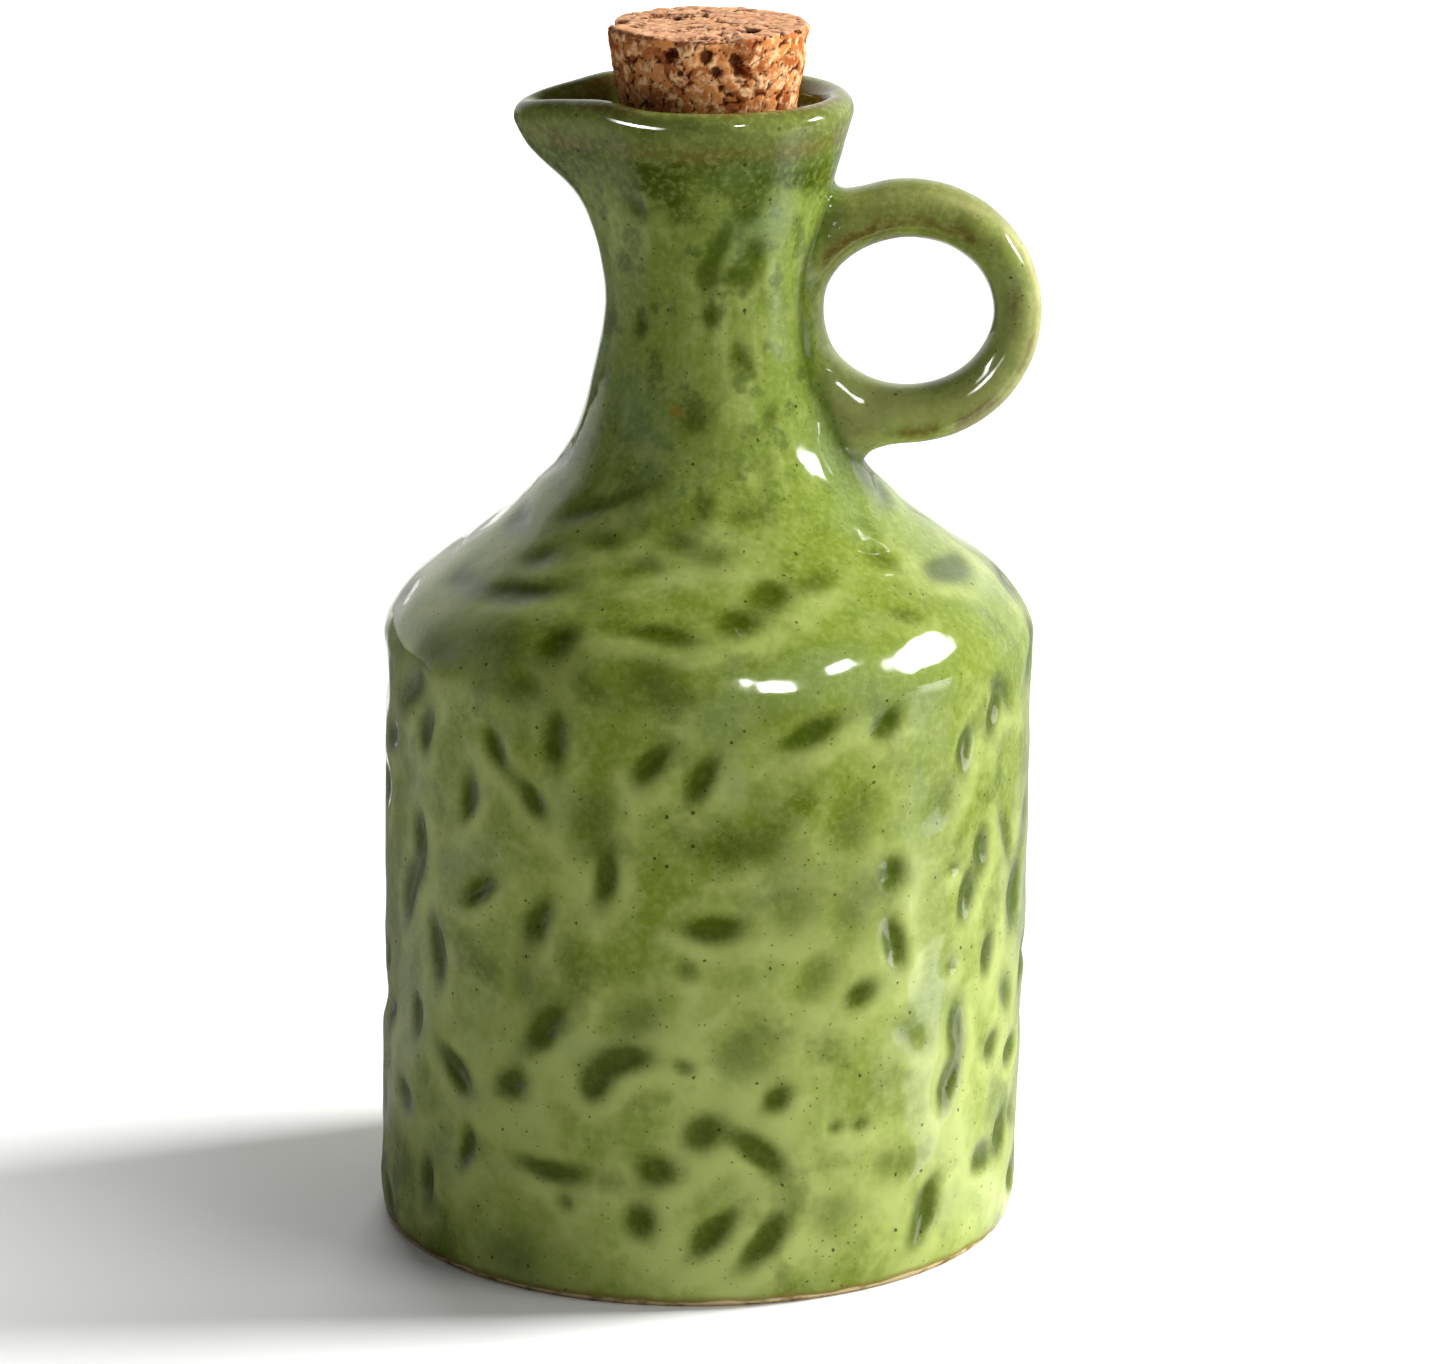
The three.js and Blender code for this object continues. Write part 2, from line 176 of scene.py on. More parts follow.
# Each kind of mark at the front: half length, half width and depth, then where such marks lie, as the angle
# from the front (positive to the right), the height, and the lean from level.
FRONT_MARKS = (
    (1.4, 1.3, 0.6, ((-3, 49.5, 0), (-3.3, 36, 0), (23.5, 25.7, 0), (28.2, 25.2, 0), (-24, 14.7, 0),
        (48, 45.7, 0), (48, 60, 0))),
    (2.5, 2.2, 0.95, ((-30, 94, 0), (6, 97, 0), (32, 83.4, 40), (-35, 30.2, 0), (-8, 20.5, 0),
        (-10, 12.5, 90), (0.5, 26.3, 50), (13, 30.2, 0), (28, 44.5, 40), (33.3, 61, 90),
        (-18.9, 32.4, 90), (14.6, 99.6, -10), (63, 30, 0), (61, 14, 0))),
    (3.4, 1.7, 1.0, ((-9.5, 79, 55), (-0.7, 77.5, 68), (-26.7, 81.8, 90), (-39.2, 78.6, 120),
        (-46.2, 70.6, 75), (-31.8, 72.3, 130), (-30, 55, 70), (-43.6, 57.2, 30), (49, 28.1, 80),
        (59.6, 44.4, 85), (52, 55, 85), (56.7, 60.4, 80), (51, 76.7, 80), (60, 80, 80), (34.7, 51, 100),
        (50.5, 36, 85), (-45.8, 19, 80), (-57, 11, 85), (-61, 62, 95), (-58, 78, 80), (-61.5, 35, 80))),
    (4.6, 1.8, 1.05, ((-17.7, 62.3, 78), (0.7, 55.8, -6), (17.7, 82.8, 22), (-28.6, 39.7, 50),
        (-14.5, 36, 12), (10, 22.5, -45), (-49, 30, -28), (2.6, 11.6, 45), (11, 9.2, 50),
        (-54.6, 46.5, 100), (44, 10, 60))),
    (6.4, 1.8, 0.9, ((-27.1, 19, -3), (-10.5, 95.6, -4), (-46, 98, 16))),
    (4.4, 3.2, 0.5, ((-12, 42.3, 20), (8, 37.5, 20), (10.7, 67.5, -40), (25, 68.8, 80), (43.8, 69.8, 70),
        (39, 36.4, -20), (-33.8, 5.8, 0), (35.6, 18, 0), (22.3, 12.5, 0), (18.8, 47.3, 50),
        (-33.2, 46, -60), (14.4, 57.8, 40), (25.6, 57, 90), (-34, 87.8, 0), (-11.2, 90.4, 0),
        (-56, 90, 0), (-20, 71, 80), (3, 67, 0))),
    (3.2, 1.9, 0.55, ((-46, 108, 20), (-32, 110, 30), (-33, 105, 15), (-50, 102, 25), (-18.5, 102.3, 5),
        (-9.5, 105.5, 10), (1, 104, 0), (12, 108.5, 0), (-4, 109.3, 80), (43.6, 96, -15), (50, 102, -20),
        (66, 98, -20), (27, 101, 0))),
    (2.2, 1.5, 0.3, ((-36, 150.4, 90), (16.5, 150, 60), (24.5, 144.3, 110), (4, 146, 80), (0, 141.5, 90),
        (17, 140.4, 0), (0, 135.2, 90), (18, 129, 90), (-39, 133, 90), (30, 120.6, 90), (-8.3, 121, 60),
        (-22, 113, 90), (21, 114, 80))),
)
# Round the sides and the back it was beaten in rough rows: where the rows of a band lie along the outline,
# rows, marks in a row, share left out, then half length, half width, depth and turn.
HOLLOWS = (
    (7, 84, 8, 24, 0.15, (2.2, 5.4), (1.6, 2.9), (0.6, 1.1), (0.2, 2.9)),
    (94, 120, 4, 15, 0.25, (2.8, 6.4), (1.8, 2.5), (0.45, 0.9), (-0.4, 0.4)),
    (128, 168, 5, 9, 0.3, (2, 3), (1.3, 1.8), (0.2, 0.35), (1.2, 1.9)),
)
FRONT_HALF_ANGLE = 64
STRAY = (-0.36, 0.36)
UNEVEN = (0.85, 1.2)
FRONT_SEED = 301
HOLLOW_SEED = 1
DEEPEST = 1.8
GLAZE_FILLS = 0.22
# In the glaze the border below each hollow is also painted light: a pale glow below and to the right of it.
BORDER_RAISED = 0.5
BORDER_LOW = 1.0
BORDER_RIGHT = 0.4
BORDER_WIDER = 2.2
WANDER = 0.4
WAVE_HEIGHT = 0.28
WAVE_LENGTH = 10
RELIEF_FROM = 0.5
RELIEF_FULL = 5
SPOUT = {"reach": 7.1, "middle": 153.5, "softness": 2.5, "half_angle": 0.4, "dip": 1.2, "dip_angle": 0.25}
PINCH = {"rise": 0.7, "angle": 0.7, "half_angle": 0.25}


def draw(count):
    """A repeatable draw between 0 and 1."""
    s = math.sin(count * 12.9898 + 4.1414) * 43758.5453
    return s - math.floor(s)


def half_turn(angle):
    """An angle brought between minus and plus half a turn."""
    return np.mod(angle + math.pi, 2 * math.pi) - math.pi


def placed(groups, seed):
    """The marks at the front, each as (angle, along, radius, half length, half width, depth, turn)."""
    hollows = []
    for long, wide, deep, spots in groups:
        for angle, height, lean in spots:
            size = UNEVEN[0] + (UNEVEN[1] - UNEVEN[0]) * draw(seed + len(hollows))
            along = np.interp(height, outside[:, 1], outside_along)
            hollows.append((math.radians(angle - 90), along, outline_radius(height),
                            long * size, wide * size, deep, math.radians(lean)))
    return hollows


def scattered(bands, seed, clear):
    """Marks in rows, in the same form. A sector of so many degrees each side of the front stays clear."""
    counts = iter(range(seed, 10 ** 6))

    def pick(low_high):
        low, high = low_high
        return low + (high - low) * draw(next(counts))

    hollows = []
    for start, stop, rows, per_row, left, long, wide, deep, turn in bands:
        gap = (stop - start) / (rows - 1)
        for row in range(rows):
            for i in range(per_row):
                skipped = draw(next(counts)) < left
                angle = 2 * math.pi * (i + 0.5 * (row % 2) + pick(STRAY)) / per_row
                along = start + gap * (row + pick(STRAY))
                sizes = [pick(size) for size in (long, wide, deep, turn)]
                if not skipped and abs(math.degrees(half_turn(angle + math.pi / 2))) >= clear:
                    radius = np.interp(along, outside_along, outside[:, 0])
                    hollows.append((angle, along, radius, *sizes))
    return hollows


def hollowed(angle, along, spread=1.0):
    """How deep the hollows are at points of the wall, and how strongly the borders below them show."""
    left = np.ones(len(angle))
    border = np.zeros(len(angle))
    for at, height, radius, long, wide, deep, turn in hollows:
        reach = 2.6 * spread * long + 2
        off_side = half_turn(angle - at) * radius
        near = np.flatnonzero((np.abs(along - height) < reach) & (np.abs(off_side) < reach))
        up, around = along[near], angle[near]
        dx = off_side[near] + WANDER * np.sin(0.5 * up + 1.1 * np.sin(7 * around))
        dy = up - height + WANDER * np.sin(15 * around + 1.3 * np.sin(0.35 * up))

        def away(dx, dy):
            u = (dx * math.cos(turn) + dy * math.sin(turn)) / long
            v = (dy * math.cos(turn) - dx * math.sin(turn)) / wide
            return (u * u + v * v) / spread ** 2

        inside = np.exp(-away(dx, dy))
        left[near] *= 1 - deep / DEEPEST * inside
        below = np.exp(-away(dx - BORDER_RIGHT, dy + BORDER_LOW) / BORDER_WIDER)
        border[near] += deep * np.clip(below - inside, 0, None)
    return DEEPEST * (1 - left), border


def rim_share(z):
    """How strongly a height belongs to the pulled rim, from 0 on the neck to 1 at the lip."""
    return 1 / (1 + np.exp((SPOUT["middle"] - z) / SPOUT["softness"]))


def outline_radius(z):
    return np.interp(z, outside[:, 1], outside[:, 0])


hollows = placed(FRONT_MARKS, FRONT_SEED) + scattered(HOLLOWS, HOLLOW_SEED, FRONT_HALF_ANGLE)
p = places(bottle.data)
x, y, z = p.T
radius = np.hypot(x, y)
angle = np.arctan2(y, x)
beaten = (radius > outline_radius(z) - 0.01) & (z > RELIEF_FROM) & (z < FLARE_TOP[1])
depth, border = hollowed(angle, np.interp(z, outside[:, 1], outside_along))
waves = np.array([noise.noise(Vector(place) / WAVE_LENGTH) for place in p]) * WAVE_HEIGHT
relief = (waves - (1 - GLAZE_FILLS) * depth + BORDER_RAISED * border) * np.clip(z / RELIEF_FULL, 0, 1)
shrink = np.where(beaten, 1 + relief / np.maximum(radius, 1), 1)
off_spout = np.pi - np.abs(angle)
rim = np.where(radius > 1, rim_share(z), 0)
x = x * shrink - SPOUT["reach"] * rim * np.exp(-(off_spout / SPOUT["half_angle"]) ** 2)
y = y * shrink
lean = LEAN * np.clip(1 - z / LEAN_HEIGHT, 0, None) ** 2
z = (z - SPOUT["dip"] * rim * np.exp(-(off_spout / SPOUT["dip_angle"]) ** 2)
     + PINCH["rise"] * rim * np.exp(-((off_spout - PINCH["angle"]) / PINCH["half_angle"]) ** 2))
set_places(bottle.data, np.column_stack([x + lean, y, z]))

# The ring handle
# A coil of clay bent into a ring for one finger and pressed on to the neck, with the joint wiped smooth. A
# round section spun into a ring is stretched between the oval hole and the outer edge.
RING_X = 28.2
RING_Z = 132.9
RING_OUTSIDE = 19.0
RING_DEPTH = 9.0
HOLE_HALF_LENGTH = 12.1
HOLE_HALF_HEIGHT = 10.7
SWELLS = ((124, 1.3, 9), (-115, 4.0, 12), (180, -2.2, 30))
ROOT_DEEPER = 0.35
ROOT_WIDTH = 35
FILLET = 2.6
FILLET_SUNK = 0.3
COIL_WAVE = 0.08
WAVES_IN_COIL = (1.3, 1, 1.3)
SECTION_STEPS = 46
RING_STEPS = 180
SPUN_AT = 3


def hump(angle, at, width):
    """A hump of height 1 at an angle, fading out over a width, all in degrees."""
    return np.exp(-((np.mod(angle - at + 180, 360) - 180) / width) ** 2)


form = bmesh.new()
bmesh.ops.create_circle(form, cap_ends=False, radius=1, segments=SECTION_STEPS)
bmesh.ops.translate(form, verts=form.verts, vec=(SPUN_AT, 0, 0))
bmesh.ops.spin(form, geom=form.verts[:] + form.edges[:], cent=(0, 0, 0), axis=(0, 1, 0),
               angle=2 * math.pi, steps=RING_STEPS, use_merge=True)
bmesh.ops.remove_doubles(form, verts=form.verts, dist=1e-5)
bmesh.ops.recalc_face_normals(form, faces=form.faces)
handle = piece("handle_coil", form)
x, sideways, z = places(handle.data).T
turn = np.arctan2(z, x)
outward = np.hypot(x, z) - SPUN_AT
degrees = np.degrees(turn)
inner = 1 / np.hypot(np.cos(turn) / HOLE_HALF_LENGTH, np.sin(turn) / HOLE_HALF_HEIGHT)
outer = RING_OUTSIDE + sum(by * hump(degrees, at, width) for at, by, width in SWELLS)
roots = sum(hump(degrees, at, ROOT_WIDTH) for at, _, _ in SWELLS[:2])
coil_places = np.column_stack([x, sideways, z]) * WAVES_IN_COIL
waves = np.array([noise.noise(Vector(place)) for place in coil_places])
ring = (inner + outer) / 2 + outward * ((outer - inner) / 2 + COIL_WAVE * waves)
y = sideways * ((1 + ROOT_DEEPER * roots) * RING_DEPTH / 2 + COIL_WAVE * waves)
off_neck = np.hypot(RING_X + ring * np.cos(turn), y) - outline_radius(RING_Z + ring * np.sin(turn))
climb = np.clip(off_neck + FILLET_SUNK, 0, FILLET)
flare = FILLET - np.sqrt(FILLET ** 2 - (FILLET - climb) ** 2)
ring = ring + outward * flare
y = y + sideways * flare
set_places(handle.data, np.column_stack([RING_X + ring * np.cos(turn), y, RING_Z + ring * np.sin(turn)]))

# The bottle is one piece of clay, so the coil and the body are joined, and the seam is wiped smooth.
SEAM_WIPED = 2.2
SEAM_MERGED = 0.2
SEAM_STROKES = 14
for part in (bottle, handle):
    for side in ("body_clay", "coil_clay"):
        part.data.materials.append(bpy.data.materials.new(side))
for face in handle.data.polygons:
    face.material_index = 1
union = bottle.modifiers.new("joined", "BOOLEAN")
union.operation = "UNION"
union.solver = "MANIFOLD"
union.object = handle
form = bmesh.new()
form.from_mesh(bpy.data.meshes.new_from_object(bottle.evaluated_get(bpy.context.evaluated_depsgraph_get())))


def seam_of(form):
    """The vertices where the coil's faces meet the body's."""
    edges = [e for e in form.edges if len({f.material_index for f in e.link_faces}) == 2]
    return list({v for e in edges for v in e.verts})


beside = {w for v in seam_of(form) for e in v.link_edges for w in e.verts}
bmesh.ops.remove_doubles(form, verts=list(beside), dist=SEAM_MERGED)
bmesh.ops.dissolve_degenerate(form, dist=1e-4, edges=form.edges)
on_seam = seam_of(form)
seam_tree = kdtree.KDTree(len(on_seam))
for i, vertex in enumerate(on_seam):
    seam_tree.insert(vertex.co, i)
seam_tree.balance()
near_seam = [v for v in form.verts if seam_tree.find(v.co)[2] < SEAM_WIPED]
for _ in range(SEAM_STROKES):
    bmesh.ops.smooth_vert(form, verts=near_seam, factor=0.5,
                          use_axis_x=True, use_axis_y=True, use_axis_z=True)
for face in form.faces:
    face.material_index = 0
    face.smooth = True
bmesh.ops.triangulate(form, faces=[f for f in form.faces if len(f.verts) > 4])
for part in (bottle, handle):
    bpy.data.objects.remove(part)
bottle = piece("dispenser_bottle", form)

# What the glaze does where is kept on the vertices: how deep it pools, where it lies thin over a border that
# is also painted lit, and how near the handle's joint is. It is worn under the lip, on top of the lip and in
# bands on the coil, each at a share of the way from the hole to the outer edge. The coil's outer edge on its
# right side is pale, partly from thin glaze and partly as painted light.
POOL_SPREAD = 1.22
HANDLE_THICK = 7.6
HANDLE_BETWEEN = (105, 156)
COIL_CLEAR = 0.6
COIL_FADE = 1.6
JOINT_WIDTH = 1.8
WORN_HIGH = ((0.4, 0.15, 1.0), (0, 0.12, 0.5))
WORN_LOW = ((0.8, 0.14, 1.0),)
HIGH_FADE = 2.0
# The pale outer edge of the coil and the turn on the ring where it lies: the right side, partly painted
# light.
PALE_CREST = (0.9, 0.1)
CREST_LIT_TURN = (8, 60)
LIP_LINE = 1.2
LIP_LINE_WIDTH = 1.1
LIP_LINE_WORN = 0.75
CREST_WIDTH = 0.5
WALL_SKIN = 3


def band(value, at, width):
    """A band of strength 1 at a value, fading out over a width."""
    return np.exp(-((value - at) / width) ** 2)


p = places(bottle.data)
x, y, z = p.T
x = x - LEAN * np.clip(1 - z / LEAN_HEIGHT, 0, None) ** 2
radius = np.hypot(x, y)
angle = np.arctan2(y, x)
pulled = rim_share(z) * SPOUT["reach"] * np.exp(-((np.pi - np.abs(angle)) / SPOUT["half_angle"]) ** 2)
off_outline = radius - outline_radius(z) - pulled
on_handle = np.clip((off_outline - COIL_CLEAR) / COIL_FADE, 0, 1) * (x > 0)
on_handle = on_handle * (z > HANDLE_BETWEEN[0]) * (z < HANDLE_BETWEEN[1])
depth, border = hollowed(angle, np.interp(z, outside[:, 1], outside_along), POOL_SPREAD)
on_wall = np.clip(off_outline + WALL_SKIN, 0, 1) * (1 - on_handle) * (z < FLARE_TOP[1])
ring_x, ring_z = x - RING_X, z - RING_Z
ring_turn = np.arctan2(ring_z, ring_x)
hole_edge = 1 / np.hypot(np.cos(ring_turn) / HOLE_HALF_LENGTH, np.sin(ring_turn) / HOLE_HALF_HEIGHT)
across = np.clip((np.hypot(ring_x, ring_z) - hole_edge) / HANDLE_THICK, 0, 1)
high = 1 / (1 + np.exp(-ring_z / HIGH_FADE))
worn_above = sum(strength * band(across, at, width) for at, width, strength in WORN_HIGH)
worn_below = sum(strength * band(across, at, width) for at, width, strength in WORN_LOW)
coil_worn = high * worn_above + (1 - high) * worn_below
lip_worn = LIP_LINE_WORN * band(z, FLARE_TOP[1] + LIP_LINE, LIP_LINE_WIDTH) * (off_outline > 1 - WALL_SKIN)
crest_worn = band(np.maximum(z - LIP_HEIGHT, 0), LIP_HALF_HEIGHT, CREST_WIDTH)
traits = {
    "pool": on_wall * depth,
    "border": on_wall * border,
    "joint": band(np.array([seam_tree.find(Vector(place))[2] for place in p]), 0, JOINT_WIDTH),
    "handle": on_handle,
    "worn": np.clip(lip_worn + crest_worn + on_handle * coil_worn, 0, 1),
    # The coil's right outer edge: partly thin glaze, partly painted light.
    "lit_crest": on_handle * band(across, *PALE_CREST) * hump(np.degrees(ring_turn), *CREST_LIT_TURN),
}


def set_traits(mesh, traits):
    """Values kept on the vertices of a mesh, for its material."""
    for name, values in traits.items():
        mesh.attributes.new(name, "FLOAT", "POINT").data.foreach_set("value", values.astype(np.float32))


set_traits(bottle.data, traits)
set_places(bottle.data, p * MM)

# The glaze
# A glossy green ash glaze that pools dark in the hollows, under the lip and round the handle's joint. It goes
# thin and yellow on ridges, breaks olive brown over edges and carries iron specks. The foot is wiped bare.
# Painted light and shade are mixed into the colour as well: the wall is lighter towards the bottom and darker
# towards the shoulder, the border below each hollow and the coil's right outer edge are painted lit, the top
# of the coil is painted shade, and the neck carries a painted blue-grey sheen.


def rgb(*screen):
    """A colour as seen on a screen, each part from 0 to 255, made linear."""
    shares = [part / 255 for part in screen]
    return tuple(c / 12.92 if c < 0.04045 else ((c + 0.055) / 1.055) ** 2.4 for c in shares) + (1,)


def add(tree, kind, inputs=None, **settings):
    """A node with its settings, and its inputs set or linked by name or number."""
    made = tree.nodes.new("ShaderNode" + kind)
    for key, value in settings.items():
        setattr(made, key, value)
    for key, value in (inputs or {}).items():
        if isinstance(value, bpy.types.NodeSocket):
            tree.links.new(value, made.inputs[key])
        else:
            made.inputs[key].default_value = value
    return made


def plus(tree, a, b, clamp=False):
    return add(tree, "Math", {0: a, 1: b}, operation="ADD", use_clamp=clamp).outputs[0]


def minus(tree, a, b):
    return add(tree, "Math", {0: a, 1: b}, operation="SUBTRACT").outputs[0]


def times(tree, a, b, clamp=False):
    return add(tree, "Math", {0: a, 1: b}, operation="MULTIPLY", use_clamp=clamp).outputs[0]


def between(tree, value, low, high, to_low=0.0, to_high=1.0):
    """A value spread from low..high to to_low..to_high, with soft ends."""
    return add(tree, "MapRange", {"Value": value, "From Min": low, "From Max": high, "To Min": to_low,
                                  "To Max": to_high}, interpolation_type="SMOOTHSTEP").outputs["Result"]


def mixed(tree, share, a, b):
    """The colour a with a share of the colour b in it."""
    return add(tree, "Mix", {0: share, 6: a, 7: b}, data_type="RGBA").outputs[2]


def cloud(tree, place, scale, detail=2.0, rough=0.5, stretch=(1, 1, 1), offset=0.0):
    """Noise from 0 to 1 on a place, in clouds of 1 / scale metres, stretched and shifted."""
    moved = add(tree, "Mapping", {"Vector": place, "Location": (offset, offset, offset), "Scale": stretch})
    return add(tree, "TexNoise", {"Vector": moved.outputs[0], "Scale": scale, "Detail": detail,
                                  "Roughness": rough}).outputs["Fac"]


def shaken(tree, place, scale, most):
    """A place shifted by up to so many metres, in ripples of 1 / scale metres."""
    ripple = add(tree, "TexNoise", {"Vector": place, "Scale": scale}).outputs["Color"]
    moved = add(tree, "VectorMath", {0: ripple, 1: (most, most, most), 2: place}, operation="MULTIPLY_ADD")
    return moved.outputs[0]


def cell_edges(tree, place, scale):
    """How far it is to the edge of a cell, in cells of about 1 / scale metres."""
    cells = add(tree, "TexVoronoi", {"Vector": place, "Scale": scale}, feature="DISTANCE_TO_EDGE")
    return cells.outputs["Distance"]


def attribute(tree, name):
    return add(tree, "Attribute", attribute_name=name).outputs["Fac"]


def fresh(name):
    """A material with an empty tree and its shader."""
    material = bpy.data.materials.new(name)
    material.use_nodes = True
    tree = material.node_tree
    tree.nodes.clear()
    shader = add(tree, "BsdfPrincipled")
    add(tree, "OutputMaterial", {"Surface": shader.outputs[0]})
    return material, tree, shader


GLAZE_LIGHT = rgb(167, 179, 102)
GLAZE_MID = rgb(113, 130, 42)
GLAZE_DEEP = rgb(58, 74, 0)
GREY_GREEN = rgb(116, 134, 92)
GLAZE_BROWN = rgb(98, 78, 26)
GLAZE_COIL_BROWN = rgb(82, 58, 12)
GLAZE_OLIVE = rgb(142, 146, 84)
GLAZE_DARK_OLIVE = rgb(92, 96, 36)
CREST_PALE_AND_LIT = rgb(186, 182, 126)
IRON = rgb(44, 40, 12)
RUST = rgb(142, 98, 34)
CLAY = rgb(206, 184, 138)
CLAY_BURNT = rgb(122, 92, 42)

# A range says from which value to which an effect comes or goes, and its strength at both ends. Heights and
# widths are in metres here, and scales in clouds to the metre.
THIN_IN_BIG = (0.3, 0.7, -0.16, 0.18)
THIN_IN_MIDDLING = (0.3, 0.72, -0.1, 0.2)
THIN_IN_MOTTLE = (0.33, 0.72, -0.09, 0.2)
# Paleness on the border below each hollow: partly thin glaze, partly painted light.
THIN_AND_LIT_ON_BORDER = (0.03, 0.5, 0, 0.62)
# Painted light: the glaze is lighter towards the bottom of the wall and darker towards the shoulder.
LIT_BY_HEIGHT = (0.01, 0.1, 0.37, -0.13)
NECK = (0.098, 0.118, 0, 1)
STREAK_LONG = (330, 330, 42)
STREAK_MEAN = 0.52
STREAK_STRENGTH = 1.8
VEIN = (0, 0.13, 0.16, 0)
VEINS_END = (0.085, 0.1, 1, 0)
BLOTCH = (0.53, 0.7, 0, 0.45)
NECK_BLOTCH = (0.52, 0.64, 0, 0.6)
BLUE_TINT = (0.5, 0.7, 0, 0.4)
# A painted blue-grey sheen on the neck.
NECK_SHEEN = 0.14
POOL_ON_NECK = (0.112, 0.125, 1, 2.6)
POOL_MOTTLE = (0.3, 0.7, -0.05, 0.05)
POOL_DARK = (0.06, 0.85, 0, 0.9)
JOINT_DARK = 0.8
COIL_OLIVE = (0.3, 0.6, 0.35, 0.8)
# Painted shade: the top of the coil is darker.
COIL_TOP_SHADE = (0.132, 0.146, 0, 0.65)
UNDER_LIP_WANDER = 0.014
UNDER_LIP_FROM = (0.1492, 0.1530, 0, 1)
UNDER_LIP_TO = (0.1570, 0.1602, 1, 0)
UNDER_LIP_PATCHES = (0.35, 0.6, 0.6, 1.0)
LIP_FACE = (0.1565, 0.1595, 0, 0.65)
WORN_RAGGED = (0.34, 0.58, 0, 1)
WORN_BROWN = 0.8
GRAIN = (0.4, 0.75)
GRAIN_STRENGTH = 0.26
GRAIN_LOST_IN_POOL = 0.2
CREST_PATCHES = (0.3, 0.6, 0.3, 0.85)
SPECKS = ((560, 0.68, 0.19, 0.8), (1100, 0.5, 0.24, 0.55))
SPECK_EDGE = 0.07
RUST_SPOT = Vector((-4.3, -15.2, 121.7)) * MM
RUST_RAGGED = 0.0012
RUST_EDGE = (0.0012, 0.0024, 0.8, 0)
FOOT_WAVE = 0.0012
FOOT_BURNT = (0.0010, 0.0020, 0.6, 0)
FOOT_BARE = (0.0007, 0.0010, 1, 0)
CLAY_PATCHES = (0.45, 0.7, 0, 1)
GLAZE_ROUGHNESS = 0.09
CLAY_ROUGHNESS = 0.85
CLAY_GRAIN = 2

glaze, tree, shader = fresh("glaze")
place = add(tree, "TexCoord").outputs["Object"]
height = add(tree, "SeparateXYZ", {0: place}).outputs["Z"]
pool, border, joint, on_handle, worn, lit_crest = (attribute(tree, name) for name in traits)
big = cloud(tree, place, 40)
middling = cloud(tree, place, 130, 3, 0.6, offset=0.3)
mottle = cloud(tree, place, 330, 2, 0.6, offset=0.9)
fine = cloud(tree, place, 1000, 2, 0.6)
on_neck = between(tree, height, *NECK)

thin_and_lit = plus(tree, between(tree, big, *THIN_IN_BIG), between(tree, middling, *THIN_IN_MIDDLING))
thin_and_lit = plus(tree, thin_and_lit, between(tree, mottle, *THIN_IN_MOTTLE))
# Thin glaze and painted light on the border below each hollow.
thin_and_lit = plus(tree, thin_and_lit, between(tree, border, *THIN_AND_LIT_ON_BORDER))
streaks = minus(tree, cloud(tree, place, 1, 3, 0.6, stretch=STREAK_LONG), STREAK_MEAN)
thin_and_lit = plus(tree, thin_and_lit, times(tree, streaks, times(tree, on_neck, STREAK_STRENGTH)))
vein_gap = cell_edges(tree, shaken(tree, place, 110, 0.009), 88)
veins = times(tree, between(tree, vein_gap, *VEIN), between(tree, height, *VEINS_END))
thin_and_lit = plus(tree, thin_and_lit, veins)
# Painted light: lighter low on the wall, darker up towards the shoulder.
thin_and_lit = plus(tree, thin_and_lit, between(tree, height, *LIT_BY_HEIGHT), clamp=True)
colour = mixed(tree, thin_and_lit, GLAZE_MID, GLAZE_LIGHT)

blotch = between(tree, cloud(tree, place, 105, 3, offset=0.7), *BLOTCH)
colour = mixed(tree, blotch, colour, GLAZE_DEEP)
neck_blotch = between(tree, cloud(tree, place, 240, offset=2.3), *NECK_BLOTCH)
colour = mixed(tree, times(tree, neck_blotch, on_neck), colour, GLAZE_DEEP)
tint_and_sheen = between(tree, cloud(tree, place, 60, offset=1.9), *BLUE_TINT)
# Painted sheen: the neck is tinted blue-grey, over the glaze's own tint clouds.
tint_and_sheen = plus(tree, tint_and_sheen, times(tree, on_neck, NECK_SHEEN), clamp=True)
colour = mixed(tree, tint_and_sheen, colour, GREY_GREEN)

pooled = times(tree, pool, between(tree, height, *POOL_ON_NECK))
pooled = plus(tree, pooled, between(tree, mottle, *POOL_MOTTLE))
deep = plus(tree, between(tree, pooled, *POOL_DARK), times(tree, joint, JOINT_DARK), clamp=True)
colour = mixed(tree, deep, colour, GLAZE_DEEP)

olive = times(tree, on_handle, between(tree, middling, *COIL_OLIVE))
# Painted shade: the coil turns darker olive at its top.
olive_shaded_on_top = mixed(tree, between(tree, height, *COIL_TOP_SHADE), GLAZE_OLIVE, GLAZE_DARK_OLIVE)
colour = mixed(tree, olive, colour, olive_shaded_on_top)

wandering = times(tree, minus(tree, cloud(tree, place, 120, 3), 0.5), UNDER_LIP_WANDER)
up = plus(tree, height, wandering)
under_lip = times(tree, between(tree, up, *UNDER_LIP_FROM), between(tree, up, *UNDER_LIP_TO))
patches = minus(tree, between(tree, middling, *UNDER_LIP_PATCHES), on_handle)
colour = mixed(tree, times(tree, under_lip, patches, clamp=True), colour, GLAZE_DEEP)
colour = mixed(tree, between(tree, height, *LIP_FACE), colour, GLAZE_DARK_OLIVE)

